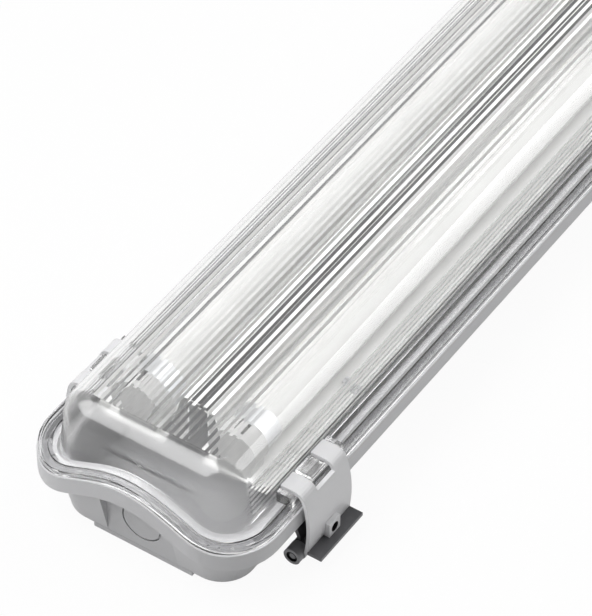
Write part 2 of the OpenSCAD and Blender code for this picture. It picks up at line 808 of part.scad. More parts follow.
// Washer between the flange and the end wall
module gland_washer() {
    color([0.12, 0.12, 0.12]) at_entry() difference() {
        axle(gland_hex_radius - gap, gland_washer_thickness);
        gland_bore(shank_radius);
    }
}

// Locknut behind the end wall
module gland_locknut() {
    color([0.78, 0.78, 0.78]) at_entry() translate([-housing_wall - locknut_thickness, 0, 0]) difference() {
        rotate([0, 90, 0]) cylinder(r = locknut_radius, h = locknut_thickness, $fn = 6);
        translate([-cut, 0, 0]) axle(shank_radius, locknut_thickness + 2 * cut);
    }
}

// Lampholder for one end of one lamp; its face looks back along X to the lamp
module holder_at(end, side) {
    along_x(end) translate([holder_face, side * lamp_offset, 0]) children();
}

// Lampholder: foot on the tray, round head, seat for the turning collar, cavity and pin slot
module holder(end, side) {
    base = tray_height + tray_sheet / 2;
    color([0.93, 0.93, 0.92]) holder_at(end, side) difference() {
        union() {
            translate([0, 0, lamp_height]) axle(holder_radius, holder_thickness);
            translate([0, -holder_foot_width / 2, base])
                cube([holder_thickness, holder_foot_width, lamp_height - base]);
        }
        translate([-cut, 0, lamp_height]) axle(collar_radius + collar_play, collar_thickness + cut);
        translate([-cut, 0, lamp_height]) axle(collar_radius - cut, cavity_depth + cut);
        translate([-cut, -pin_slot / 2, lamp_height])
            cube([cavity_depth + cut, pin_slot, holder_radius + cut]);
    }
}

// Spring blades beside the lamp's pins
module lamp_contacts() {
    reach = lamp_pin_spacing / 2 + lamp_pin_radius + gap;
    color([0.8, 0.68, 0.35]) for (end = [-1, 1], side = [-1, 1]) holder_at(end, side)
        for (s = [-1, 1]) translate([cavity_depth - contact_length, 0, lamp_height]) intersection() {
            translate([0, s * (reach + contact_thickness / 2) - contact_thickness / 2, -contact_width / 2])
                cube([contact_length, contact_thickness, contact_width]);
            axle(collar_radius - cut, contact_length);
        }
}

// Closed glass tube of a lamp, open inside
module tube(side) {
    color([0.97, 0.97, 0.96]) translate([0, side * lamp_offset, lamp_height]) difference() {
        rod(tube_radius - cap_lip, lamp_length - 2 * cap_lip);
        rod(tube_radius - cap_lip - glass_wall, lamp_length - 4 * cap_lip - 2 * glass_wall);
        for (s = [-1, 1]) translate([s * lamp_length / 2, 0, 0]) rod(tube_radius, 2 * cap_length);
    }
}

// Metal caps on both ends of a lamp
module caps(side) {
    color([0.75, 0.76, 0.77]) for (end = [-1, 1]) along_x(end)
        translate([lamp_length / 2 - cap_length, side * lamp_offset, lamp_height]) difference() {
            axle(tube_radius, cap_length);
            for (s = [-1, 1]) translate([cap_length - pin_root, 0, 0]) rotate([s * 90, 0, 0])
                translate([0, 0, lamp_pin_spacing / 2]) axle(lamp_pin_radius, pin_root + cut);
        }
}

// Two pins in each cap
module pins(side) {
    color([0.8, 0.68, 0.35]) for (end = [-1, 1], s = [-1, 1]) along_x(end)
        translate([lamp_length / 2 - pin_root, side * lamp_offset + s * lamp_pin_spacing / 2, lamp_height])
            axle(lamp_pin_radius, pin_root + lamp_pin_length);
}

// Turning collars that close the lampholder's slots when the lamp turns
module collars(side) {
    color([0.9, 0.9, 0.89]) for (end = [-1, 1]) holder_at(end, side) translate([0, 0, lamp_height])
        difference() {
            axle(collar_radius, collar_thickness);
            translate([-cut, collar_wall - collar_radius, -lamp_pin_radius - collar_play])
                cube([collar_thickness + 2 * cut, 2 * collar_radius, 2 * (lamp_pin_radius + collar_play)]);
        }
}

// Hinge pins in the housing's ears
module latch_root_pins() {
    color([0.6, 0.6, 0.62]) at_latches() translate([0, root_inset, root_height])
        rod(pin_radius, link_width + 2 * gap + 2 * ear_thickness);
}

// Link strap between the housing's ears and the latch's barrel
module link(i) {
    sling = [barrel_inset - root_inset, barrel_height - root_height];
    color([0.3, 0.3, 0.32]) at_latch(i) difference() {
        union() {
            translate([0, root_inset, root_height]) rod(ear_radius - lap, link_width);
            translate([0, barrel_inset, barrel_height]) rod(barrel_radius - lap, link_width);
            rotate([90, 0, 90]) linear_extrude(height = link_width, center = true)
                polygon(ribbon([[root_inset, root_height],
                    [root_inset, root_height] + sling / 2 - [latch_plate / 2, 0],
                    [barrel_inset, barrel_height]], latch_plate + lap));
        }
        translate([0, root_inset, root_height]) rod(pin_radius + pin_play, link_width + cut);
        translate([0, barrel_inset, barrel_height]) rod(pin_radius, link_width + cut);
    }
}

// Hinge pin in the latch's rolled barrel
module hinge_pin(i) {
    color([0.6, 0.6, 0.62]) at_latch(i) translate([0, barrel_inset, barrel_height])
        rod(pin_radius, barrel_length - mouth_depth);
}

// Side view of the latch plate: inset from the rim's side and height over the back
function latch_path() = let(top = rim_height + finger_seat + latch_plate / 2,
    foot = barrel_height - barrel_radius + latch_plate / 2)
    [for (s = smooth_curve(latch_path_shares, path_steps))
        [lens_inset - s.x * (lens_inset + latch_bulge), top - s.y * (top - foot)]];

// Latch lever: bulged plate with two fingers, rolled barrel, finger tab and boss
module latch(i) {
    color([0.74, 0.74, 0.75]) at_latch(i) difference() {
        union() {
            rotate([90, 0, 90]) linear_extrude(height = latch_width, center = true)
                polygon(ribbon(latch_path(), latch_plate));
            translate([0, barrel_inset, barrel_height]) rod(barrel_radius, barrel_length);
            translate([-latch_width / 2, -tab_reach - latch_bulge, tab_level])
                cube([latch_width, tab_reach + latch_plate, latch_plate]);
            translate([-boss_width / 2, -latch_bulge - boss_depth, boss_level - boss_height / 2])
                cube([boss_width, boss_depth + latch_plate / 2, boss_height]);
        }
        translate([0, barrel_inset, barrel_height]) {
            rod(pin_radius + pin_play, barrel_length + cut);
            rod(barrel_radius + gap, link_width + 2 * gap);
            for (s = [-1, 1]) translate([s * barrel_length / 2, 0, 0]) rod(mouth_radius, 2 * mouth_depth);
        }
        translate([-window_width / 2, -half_width / 2, rim_height + window_floor])
            cube([window_width, half_width, half_width]);
        translate([0, -latch_bulge - boss_depth / 2, boss_level]) rotate([90, 0, 0])
            cylinder(r = boss_hole_radius, h = 3 * boss_depth, center = true, $fn = round_steps);
    }
}

// Tube swept along points, closed at both ends
module lead(points, radius) {
    n = len(points);
    function tangent(i) = unit(i == 0 ? points[1] - points[0] : i == n - 1 ? points[i] - points[i - 1]
        : unit(points[i + 1] - points[i]) + unit(points[i] - points[i - 1]));
    function across(i) = let(t = tangent(i)) unit(cross(t, abs(t.z) < 0.9 ? [0, 0, 1] : [0, 1, 0]));
    rings = [for (i = [0 : n - 1]) let(t = tangent(i), u = across(i), v = cross(t, u))
        for (k = [0 : lead_sides - 1])
            points[i] + radius * (cos(360 * k / lead_sides) * u + sin(360 * k / lead_sides) * v)];
    polyhedron(rings, concat(
        [[for (k = [0 : lead_sides - 1]) k]],
        [[for (k = [lead_sides - 1 : -1 : 0]) (n - 1) * lead_sides + k]],
        [for (i = [0 : n - 2], k = [0 : lead_sides - 1])
            let(a = i * lead_sides + k, b = i * lead_sides + (k + 1) % lead_sides)
                [a, a + lead_sides, b]],
        [for (i = [0 : n - 2], k = [0 : lead_sides - 1])
            let(a = i * lead_sides + k, b = i * lead_sides + (k + 1) % lead_sides)
                [b, a + lead_sides, b + lead_sides]]));
}

// Leads from the terminals and the earth stud to the ballast, side by side over the back
module supply_leads() {
    start_y = -terminal_side + terminal_depth / 2;
    end_x = ballast_length / 2 - ballast_foot;
    low = floor_top + grommet_thickness + gap + lead_radius;
    mid = ballast_top - ballast_height / 2;
    color([0.55, 0.3, 0.12]) for (i = [0 : supply_count - 1]) {
        way_x = terminal_x - terminal_length / 2 + (i + 1 / 2) * terminal_pitch;
        lane_y = start_y + lead_lane * (i + 1);
        lead([[way_x, start_y, floor_top + terminal_height / 3],
            [way_x, start_y + lead_lane, floor_top + terminal_height / 3],
            [way_x - lead_bend, lane_y, low],
            [way_x - 2 * lead_bend - terminal_length, lane_y, low],
            [end_x + 4 * lead_bend, ballast_offset - lead_lane * (1 - i), mid],
            [end_x + 2 * lead_bend, ballast_offset - lead_lane * (1 - i), mid],
            [end_x, ballast_offset - lead_lane * (1 - i), mid]], lead_radius);
    }
}

// Leads from the ballast to the feet of the four lampholders
module lamp_leads() {
    start_x = ballast_length / 2 - ballast_foot;
    under = tray_height - tray_sheet / 2 - lead_radius - gap;
    end_x = holder_face + holder_thickness / 2;
    color([0.85, 0.85, 0.83]) for (end = [-1, 1], i = [0, 1]) along_x(end) {
        row_y = ballast_screw_offset + (i == 0 ? -1 : 1) * lead_lane * 3 / 2;
        foot_y = i == 0 ? -lamp_offset : lamp_offset;
        lead([[start_x, row_y, ballast_top - ballast_height / 4],
            [start_x + 2 * lead_bend, row_y, ballast_top - ballast_height / 4],
            [start_x + 5 * lead_bend, row_y, under],
            [end_x - 7 * lead_bend, row_y, under],
            [end_x - 3 * lead_bend, foot_y, under],
            [end_x, foot_y, under]], lead_radius);
    }
}

housing();
gasket();
lens();
gear_tray();
wiring_strip();
tray_screws();
ballast();
ballast_screws();
terminal_block();
terminal_screws();
fixing_grommets();
earth_stud();
gland_body();
gland_nut();
gland_seal();
gland_washer();
gland_locknut();
holder(-1, 1);  // holder_near_left
holder(-1, -1);  // holder_near_right
holder(1, 1);  // holder_far_left
holder(1, -1);  // holder_far_right
lamp_contacts();
supply_leads();
lamp_leads();
tube(1);  // tube_left
caps(1);  // caps_left
pins(1);  // pins_left
collars(1);  // collars_left
tube(-1);  // tube_right
caps(-1);  // caps_right
pins(-1);  // pins_right
collars(-1);  // collars_right
latch_root_pins();
link(0);  // link_1
link(1);  // link_2
link(2);  // link_3
link(3);  // link_4
link(4);  // link_5
link(5);  // link_6
hinge_pin(0);  // hinge_pin_1
hinge_pin(1);  // hinge_pin_2
hinge_pin(2);  // hinge_pin_3
hinge_pin(3);  // hinge_pin_4
hinge_pin(4);  // hinge_pin_5
hinge_pin(5);  // hinge_pin_6
latch(0);  // latch_1
latch(1);  // latch_2
latch(2);  // latch_3
latch(3);  // latch_4
latch(4);  // latch_5
latch(5);  // latch_6
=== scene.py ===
# A vapor tight ceiling light for two linear lamps, lying on its back with the lens up.
# The nodes from the CAD keep their shapes here, except the lens, which is drawn again
# on the same sizes with smooth walls, prisms and ribs.
import math

import bpy
from mathutils import Matrix, Vector


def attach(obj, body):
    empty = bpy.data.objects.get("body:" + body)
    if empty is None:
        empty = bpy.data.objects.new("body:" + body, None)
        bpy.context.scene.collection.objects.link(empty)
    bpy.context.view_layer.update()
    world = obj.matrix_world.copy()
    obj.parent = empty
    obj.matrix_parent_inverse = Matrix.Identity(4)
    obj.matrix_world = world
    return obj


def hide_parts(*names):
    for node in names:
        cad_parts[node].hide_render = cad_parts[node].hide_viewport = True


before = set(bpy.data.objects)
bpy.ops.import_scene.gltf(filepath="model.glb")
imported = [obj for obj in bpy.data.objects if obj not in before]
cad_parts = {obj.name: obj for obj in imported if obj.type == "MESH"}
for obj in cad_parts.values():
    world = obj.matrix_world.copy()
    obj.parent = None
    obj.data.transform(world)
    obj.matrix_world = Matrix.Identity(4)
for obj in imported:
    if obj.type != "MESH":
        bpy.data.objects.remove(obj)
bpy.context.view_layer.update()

# Housing. A light grey moulding with a satin skin: a drafted tub under a rim whose
# skirt runs all round and arches up in the middle of each end.

MOTTLE_FROM = 0.3
MOTTLE_TO = 0.7
MOTTLE_DETAIL = 3.0
FINE_GRAIN = 900.0
GRAIN_DEPTH = 0.0002
SHARP_ANGLE = math.radians(32)


def node_tree(name):
    """A new material with one empty surface shader."""
    material = bpy.data.materials.new(name)
    material.use_nodes = True
    tree = material.node_tree
    tree.nodes.clear()
    out = tree.nodes.new("ShaderNodeOutputMaterial")
    shader = tree.nodes.new("ShaderNodeBsdfPrincipled")
    tree.links.new(shader.outputs["BSDF"], out.inputs["Surface"])
    return material, tree, shader, out


def add_grain(tree, shader, place, scale, strength):
    """Roughens a surface with a fine bump."""
    grain = tree.nodes.new("ShaderNodeTexNoise")
    grain.inputs["Scale"].default_value = scale
    rise = tree.nodes.new("ShaderNodeBump")
    rise.inputs["Strength"].default_value = strength
    rise.inputs["Distance"].default_value = GRAIN_DEPTH
    tree.links.new(place.outputs["Object"], grain.inputs["Vector"])
    tree.links.new(grain.outputs["Fac"], rise.inputs["Height"])
    tree.links.new(rise.outputs["Normal"], shader.inputs["Normal"])


def surface(name, dark, light, roughness, metallic=0.0, scale=60.0, bump=0.0, coat=0.0,
            stretch=(1, 1, 1)):
    """A faint mottle between two colours, with a fine grain where bump is given."""
    material, tree, shader, _ = node_tree(name)
    shader.inputs["Roughness"].default_value = roughness
    shader.inputs["Metallic"].default_value = metallic
    shader.inputs["Coat Weight"].default_value = coat
    place = tree.nodes.new("ShaderNodeTexCoord")
    spread = tree.nodes.new("ShaderNodeMapping")
    spread.inputs["Scale"].default_value = stretch
    noise = tree.nodes.new("ShaderNodeTexNoise")
    noise.inputs["Scale"].default_value = scale
    noise.inputs["Detail"].default_value = MOTTLE_DETAIL
    ramp = tree.nodes.new("ShaderNodeValToRGB")
    ramp.color_ramp.elements[0].position = MOTTLE_FROM
    ramp.color_ramp.elements[1].position = MOTTLE_TO
    ramp.color_ramp.elements[0].color = (*dark, 1.0)
    ramp.color_ramp.elements[1].color = (*light, 1.0)
    tree.links.new(place.outputs["Object"], spread.inputs["Vector"])
    tree.links.new(spread.outputs["Vector"], noise.inputs["Vector"])
    tree.links.new(noise.outputs["Fac"], ramp.inputs["Fac"])
    tree.links.new(ramp.outputs["Color"], shader.inputs["Base Color"])
    if bump:
        add_grain(tree, shader, place, FINE_GRAIN, bump)
    return material


def dress(names, material):
    """Gives CAD nodes a material and smooth shading across their curved faces."""
    for name in names:
        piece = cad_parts[name]
        piece.data.materials.clear()
        piece.data.materials.append(material)
        for face in piece.data.polygons:
            face.use_smooth = True
        piece.data.set_sharp_from_angle(angle=SHARP_ANGLE)


housing_grey = surface("housing_grey", (0.48, 0.48, 0.49), (0.52, 0.52, 0.53), 0.42, scale=9, bump=0.12)
dress(["housing"], housing_grey)

# Gasket. A soft grey foamed strip that lies in the rim's groove and shows through
# the clear flange as a darker line.

gasket_grey = surface("gasket_grey", (0.22, 0.22, 0.23), (0.30, 0.30, 0.31), 0.8, scale=300, bump=0.3)
dress(["gasket"], gasket_grey)

# Gear tray. White enamelled sheet steel, folded up to a spine in the middle and to
# short wings at its sides, held down by six cross-head screws.

tray_white = surface("tray_white", (0.71, 0.71, 0.70), (0.75, 0.75, 0.74), 0.4, scale=12, coat=0.1)
zinc = surface("zinc", (0.50, 0.51, 0.53), (0.66, 0.66, 0.68), 0.35, metallic=0.9, scale=140)
dress(["gear_tray"], tray_white)
dress(["tray_screws", "ballast_screws"], zinc)

# Wiring strip. A matt black cover along the top of the tray's spine, its black standing
# in as painted shade for the dark gap along the spine; the lens's prisms break it up into
# several thin dark lines.

strip_shade_black = surface("strip_shade_black", (0.008, 0.008, 0.009), (0.014, 0.014, 0.015), 0.5, scale=80)
dress(["wiring_strip"], strip_shade_black)

# Control gear. A sheet metal ballast under the tray, a cream terminal block with
# brass screws, an earth stud, and the leads that join them.

gear_metal = surface("gear_metal", (0.60, 0.61, 0.62), (0.68, 0.69, 0.70), 0.32, metallic=0.85, scale=30,
                     stretch=(1, 8, 8))
cream = surface("cream", (0.78, 0.78, 0.74), (0.83, 0.83, 0.79), 0.38, scale=40)
brass = surface("brass", (0.60, 0.42, 0.16), (0.72, 0.54, 0.24), 0.3, metallic=1.0, scale=120)
brown_wire = surface("brown_wire", (0.11, 0.045, 0.018), (0.16, 0.065, 0.026), 0.35, scale=90)
white_wire = surface("white_wire", (0.68, 0.68, 0.66), (0.75, 0.75, 0.73), 0.35, scale=90)
dress(["ballast"], gear_metal)
dress(["terminal_block"], cream)
dress(["terminal_screws", "earth_stud", "lamp_contacts", "pins_left", "pins_right"], brass)
dress(["supply_leads"], brown_wire)
dress(["lamp_leads"], white_wire)

# Cable gland and grommets. Light grey nylon nuts on the unseen far end with a black
# rubber seal and washer, and two black grommets in the screw holes of the back.

gland_grey = surface("gland_grey", (0.46, 0.46, 0.47), (0.50, 0.50, 0.51), 0.45, scale=50, bump=0.1)
black_rubber = surface("black_rubber", (0.012, 0.012, 0.012), (0.022, 0.022, 0.022), 0.7, scale=160,
                       bump=0.2)
dress(["gland_body", "gland_nut", "gland_locknut"], gland_grey)
dress(["gland_seal", "gland_washer", "fixing_grommets"], black_rubber)

# Lampholders. Four light grey moulded holders with a turning collar in each face; the
# lamp's pins drop in by the slot at the top and turn with the collar.

holder_grey = surface("holder_grey", (0.40, 0.40, 0.395), (0.46, 0.46, 0.455), 0.3, scale=60)
dress(["holder_near_left", "holder_near_right", "holder_far_left", "holder_far_right",
       "collars_left", "collars_right"], holder_grey)

# Lamps. Two straight fluorescent tubes, white from the coating inside the glass,
# with bare aluminium caps.

tube_white = surface("tube_white", (0.54, 0.54, 0.53), (0.58, 0.58, 0.57), 0.2, scale=20, coat=0.2)
cap_metal = surface("cap_metal", (0.62, 0.63, 0.64), (0.74, 0.75, 0.76), 0.3, metallic=1.0, scale=60,
                    stretch=(1, 6, 6))
dress(["tube_left", "tube_right"], tube_white)
dress(["caps_left", "caps_right"], cap_metal)

# Latches. Light grey nylon levers with two fingers over the lens and a rolled barrel
# below, hung on links by steel pins. Painted shade darkens the finger tab and the
# barrel, blackens the barrel's mouths and the boss's hole, and makes the links near-black.

LATCH_X = 0.593
LATCH_NUMBERS = range(1, 7)
TAB_SHADE_FROM = 0.0842
TAB_SHADE_TOP = 0.0112
BARREL_OUT = 0.0765
BARREL_UP = 0.0062
BARREL_RADIUS = 0.0061
MOUTH_RADIUS = 0.0037
BOSS_UP = 0.016
BOSS_HOLE = 0.0033
# Painted shade levels on the lever: the barrel, the tab, and black for the mouths and the hole; the first
# colour is the lever's own light grey.
BARREL_SHADE = 0.4
TAB_SHADE = 0.7
LEVER_COLOUR_AND_SHADES = ((0.0, (0.66, 0.66, 0.67)), (0.3, (0.24, 0.24, 0.25)),
                 (0.5, (0.075, 0.075, 0.08)), (0.9, (0.006, 0.006, 0.007)))
LEVER_ROUGHNESS = 0.38
LEVER_GRAIN = 700.0
LEVER_BUMP = 0.12


def reckon(tree, operation, first, second=None):
    """One arithmetic step on shader values; each side is a socket or a number."""
    step = tree.nodes.new("ShaderNodeMath")
    step.operation = operation
    for slot, side in enumerate((first, second)):
        if side is None:
            continue
        if isinstance(side, float):
            step.inputs[slot].default_value = side
        else:
            tree.links.new(side, step.inputs[slot])
    return step.outputs["Value"]


def highest(tree, *values):
    """The largest of several shader values."""
    result = values[0]
    for value in values[1:]:
        result = reckon(tree, "MAXIMUM", result, value)
    return result


def apart(tree, first, second):
    """Length of the diagonal of two shader values."""
    squares = [reckon(tree, "MULTIPLY", side, side) for side in (first, second)]
    return reckon(tree, "SQRT", reckon(tree, "ADD", *squares))


def latch_material():
    """Light grey, with painted shade: dark on the finger tab and the barrel, black in its mouths and the
    boss's hole.
    """
    material, tree, shader, _ = node_tree("latch_grey")
    shader.inputs["Roughness"].default_value = LEVER_ROUGHNESS
    place = tree.nodes.new("ShaderNodeTexCoord")
    parts = tree.nodes.new("ShaderNodeSeparateXYZ")
    tree.links.new(place.outputs["Object"], parts.inputs["Vector"])
    along = reckon(tree, "ABSOLUTE", parts.outputs["X"])
    outward = reckon(tree, "ABSOLUTE", parts.outputs["Y"])
    height = parts.outputs["Z"]
    # Painted shade: the finger tab is darkened.
    shaded_tab = reckon(tree, "MULTIPLY", reckon(tree, "GREATER_THAN", outward, TAB_SHADE_FROM),
                  reckon(tree, "LESS_THAN", height, TAB_SHADE_TOP))
    # Painted shade: the barrel is darkened and its mouths round the pin blackened.
    from_pin = apart(tree, reckon(tree, "SUBTRACT", outward, BARREL_OUT),
                     reckon(tree, "SUBTRACT", height, BARREL_UP))
    mouth = reckon(tree, "LESS_THAN", from_pin, MOUTH_RADIUS)
    barrel = reckon(tree, "LESS_THAN", from_pin, BARREL_RADIUS)
    # Painted shade: the boss's hole is blackened.
    from_outer = reckon(tree, "ABSOLUTE", reckon(tree, "SUBTRACT", along, LATCH_X))
    from_latch = reckon(tree, "MINIMUM", along, from_outer)
    from_hole = apart(tree, from_latch, reckon(tree, "SUBTRACT", height, BOSS_UP))
    hole = reckon(tree, "LESS_THAN", from_hole, BOSS_HOLE)
    shade = highest(tree, reckon(tree, "MULTIPLY", shaded_tab, TAB_SHADE),
                    reckon(tree, "MULTIPLY", barrel, BARREL_SHADE), mouth, hole)
    ramp = tree.nodes.new("ShaderNodeValToRGB")
    ramp.color_ramp.interpolation = "CONSTANT"
    stops = ramp.color_ramp.elements
    stops.remove(stops[1])
    for mark, colour in LEVER_COLOUR_AND_SHADES:
        stop = stops.new(mark) if mark else stops[0]
        stop.color = (*colour, 1.0)
    tree.links.new(shade, ramp.inputs["Fac"])
    tree.links.new(ramp.outputs["Color"], shader.inputs["Base Color"])
    add_grain(tree, shader, place, LEVER_GRAIN, LEVER_BUMP)
    return material


# The links' near-black is painted shade for the shaded space behind each lever's plate.
link_shade_dark = surface("link_shade_dark", (0.045, 0.045, 0.05), (0.065, 0.065, 0.07), 0.4, scale=90)
dark_steel = surface("dark_steel", (0.10, 0.10, 0.105), (0.16, 0.16, 0.165), 0.4, metallic=0.7, scale=140)
dress([f"latch_{i}" for i in LATCH_NUMBERS], latch_material())
dress([f"link_{i}" for i in LATCH_NUMBERS], link_shade_dark)
dress(["latch_root_pins"] + [f"hinge_pin_{i}" for i in LATCH_NUMBERS], dark_steel)

# Lens. One clear moulding with rounded shoulders, prisms along the inside of its flat
# top, fine ribs inside its side walls and a rougher skin at its ends, tinted darker grey
# there as painted shade. Its flange has a bead, a tongue and the latches' seats, and
# follows the arched rim.

HALF_LENGTH = 0.675
HALF_WIDTH = 0.080
CORNER = 0.038
RIM = 0.044
ARCH = 0.020
ARCH_HALF = 0.070
FOOT_END = 0.011
FOOT_SIDE = 0.014
LEAN_END = 0.005
LEAN_SIDE = 0.004
LEAN_FROM = 0.0367
LEAN_RISE = 0.0273
SHOULDER = 0.016
SHOULDER_END = 0.018
TOP = 0.090
WALL = 0.0022
SPRING_X = HALF_LENGTH - FOOT_END - LEAN_END
SPRING_Y = HALF_WIDTH - FOOT_SIDE - LEAN_SIDE
SPRING_RADIUS = CORNER - FOOT_SIDE - LEAN_SIDE
EDGE_X = SPRING_X - SHOULDER_END
EDGE_Y = SPRING_Y - SHOULDER
EDGE_RADIUS = SPRING_RADIUS - SHOULDER
PRISM_PITCH = 0.0044
PRISM_DEPTH = 0.0003
RIB_DEPTH = 0.00014
HAIR = 1e-6
WALL_STEPS = 16
SHOULDER_STEPS = 12
END_STEPS = 44
CORNER_STEPS = 16
FLANGE_TOP = 0.0034
FLANGE_LOW = 0.0004
FLANGE_GAP = 0.0005
FLANGE_PROFILE = (
    (0.0130, 0.0034), (0.0092, 0.0034), (0.0088, 0.0042), (0.0078, 0.0044), (0.0070, 0.0042),
    (0.0066, 0.0034), (0.0034, 0.0034), (0.0029, 0.0038), (0.0028, 0.0046), (0.0025, 0.0050),
    (0.0013, 0.0051), (0.0009, 0.0047), (0.0008, 0.0040), (0.0008, 0.0007), (0.0011, 0.0004),
    (0.0047, 0.0004), (0.0047, -0.0014), (0.0073, -0.0014), (0.0073, 0.0004))
SEAT_BACK = 0.0138
SEAT_LOW = 0.00345
PAD_FRONT = 0.0052
PAD_HALF = 0.0227
PAD_TOP = 0.0097
RIDGE_FRONT = 0.0026
RIDGE_HALF = 0.0065
RIDGE_LOW = 0.00975
RIDGE_TOP = 0.0123
CHEEK_FRONT = 0.0030
CHEEK_OUT = 0.0244
CHEEK_HALF = 0.0016
CHEEK_TOP = 0.0113
LENS_SHARP_ANGLE = math.radians(28)
CLEAR_ROUGHNESS = 0.03
CLEAR_TINT = 0.97
FROST_ROUGHNESS = 0.16
FROST_SHADE_TINT = 0.74
FROST_FROM = 0.641
FROST_FADE = 0.005
REFRACTION = 1.585


def wave(y):
    """Height that the rim's arch adds at a distance from the middle."""
    if abs(y) >= ARCH_HALF:
        return 0.0
    return ARCH * (1 + math.cos(math.pi * y / ARCH_HALF)) / 2


def ring(half_x, half_y, radius):
    """Points of a rounded rectangle, in the same order and number for every size."""
    points = []
    for k in range(4):
        corner_x = (half_x - radius) * (1 if k in (0, 3) else -1)
        corner_y = (half_y - radius) * (1 if k in (0, 1) else -1)
        for i in range(CORNER_STEPS + 1):
            a = math.pi / 2 * (k + i / CORNER_STEPS)
            points.append((corner_x + radius * math.cos(a), corner_y + radius * math.sin(a)))
        if k in (1, 3):
            side = -1 if k == 1 else 1
            start = half_y - radius
            for i in range(1, END_STEPS):
                points.append((side * half_x, -side * start * (1 - 2 * i / END_STEPS)))
    return points


def endness(x):
    """0 along the sides, 1 at the middle of each end, smooth through the corners."""
    share = min(max((abs(x) - (HALF_LENGTH - CORNER)) / (CORNER - FOOT_END), 0.0), 1.0)
    return share * share * (3 - 2 * share)


def lens_wall(wall):
    """Rings of the dome's wall from its foot to the edge of the flat top."""
    foot = ring(HALF_LENGTH - FOOT_END - wall, HALF_WIDTH - FOOT_SIDE - wall, CORNER - FOOT_SIDE - wall)
    spring = ring(SPRING_X - wall, SPRING_Y - wall, SPRING_RADIUS - wall)
    crown = ring(EDGE_X, EDGE_Y, EDGE_RADIUS)
    low_z = RIM + (FLANGE_LOW if wall else FLANGE_TOP)
    rises = [SHOULDER + (SHOULDER_END - SHOULDER) * endness(x) for x, _ in foot]
    side_y = max(y for _, y in spring) - HAIR
    rings = []
    for level in range(WALL_STEPS + 1):
        rib = RIB_DEPTH * (level % 2) if wall else 0.0
        points = []
        for (fx, fy), (sx, sy), rise in zip(foot, spring, rises):
            spring_z = TOP - rise
            upright = LEAN_FROM + LEAN_RISE * wave(fy) / ARCH
            base = low_z + wave(fy)
            z = base + (spring_z - base) * level / WALL_STEPS
            lean = min(max((z - upright) / (spring_z - upright), 0.0), 1.0)
            inward = math.copysign(rib, sy) if abs(sy) > side_y else 0.0
            points.append((fx + (sx - fx) * lean, fy + (sy - fy) * lean - inward, z))
        rings.append(points)
    for step in range(1, SHOULDER_STEPS + 1):
        a = math.pi / 2 * step / SHOULDER_STEPS
        share = 1 - math.cos(a)
        points = []
        for (sx, sy), (cx, cy), rise in zip(spring, crown, rises):
            z = TOP - rise + (rise - wall) * math.sin(a)
            points.append((sx + (cx - sx) * share, sy + (cy - sy) * share, z))
        rings.append(points)
    return rings


def flange_rings():
    """Rings of the flange from the dome's outer foot round the edge to its inner foot."""
    rings = []
    for inset, rise in FLANGE_PROFILE:
        outline = ring(HALF_LENGTH - min(inset, FOOT_END - FLANGE_GAP), HALF_WIDTH - inset, CORNER - inset)
        rings.append([(x, y, RIM + rise + wave(y)) for x, y in outline])
    return rings


def add_shells(vertices, faces):
    """Adds the walls and the flange, and tells which faces are frosted and which ribbed."""
    outside = lens_wall(0.0)
    inside = lens_wall(WALL)
    shells = outside[::-1] + flange_rings() + inside
    count = len(shells[0])
    first_inside = len(shells) - len(inside)
    frosted = []
    ribbed = []
    for points in shells:
        vertices.extend(points)
    for level in range(len(shells) - 1):
        on_wall = level < len(outside) - 1 or level > first_inside
        this_ring = level * count
        next_ring = this_ring + count
        for i in range(count):
            k = (i + 1) % count
            here_x = shells[level][i][0]
            if on_wall and abs(here_x) > FROST_FROM:
                frosted.append(len(faces))
            along = abs(here_x - shells[level][k][0]) > HALF_LENGTH
            if along and first_inside <= level < first_inside + WALL_STEPS:
                ribbed.append(len(faces))
            faces.append([this_ring + k, this_ring + i, next_ring + i, next_ring + k])
    faces.append(list(range(count)))
    return frosted, ribbed


def add_prisms(vertices, faces):
    """Adds the prisms under the flat top, cut to its rounded outline, and closes their ends."""
    prisms = int(EDGE_Y / PRISM_PITCH)
    deep = [(j + 0.5) * PRISM_PITCH for j in range(-prisms, prisms)]
    places = [(y, PRISM_DEPTH) for y in deep] + [(y - PRISM_PITCH / 2, 0.0) for y in deep]
    places += [(deep[-1] + PRISM_PITCH / 2, 0.0), (-EDGE_Y, 0.0), (EDGE_Y, 0.0)]
    start = len(vertices)
    for y, drop in sorted(places):
        past = max(0.0, abs(y) - (EDGE_Y - EDGE_RADIUS))
        x = EDGE_X - EDGE_RADIUS + math.sqrt(max(EDGE_RADIUS * EDGE_RADIUS - past * past, 0.0))
        z = TOP - WALL - drop
        vertices.extend([(-x, y, z), (x, y, z)])
    for j in range(len(places) - 1):
        a = start + 2 * j
        faces.append([a, a + 2, a + 3, a + 1])
    for j in range(1, len(places) - 3, 2):
        a = start + 2 * j
        faces.append([a, a + 4, a + 2])
        faces.append([a + 5, a + 1, a + 3])


def add_box(vertices, faces, side, span, front, rises):
    """Adds one closed box of a seat, from its front in the flange back to the dome's foot."""
    start = len(vertices)
    across = sorted((side * (HALF_WIDTH - front), side * (HALF_WIDTH - SEAT_BACK)))
    for rise in rises:
        for y in across:
            for x in span:
                vertices.append((x, y, RIM + rise))
    for face in ((0, 2, 3, 1), (4, 5, 7, 6), (0, 1, 5, 4), (2, 6, 7, 3), (0, 4, 6, 2), (1, 3, 7, 5)):
        faces.append([start + k for k in face])


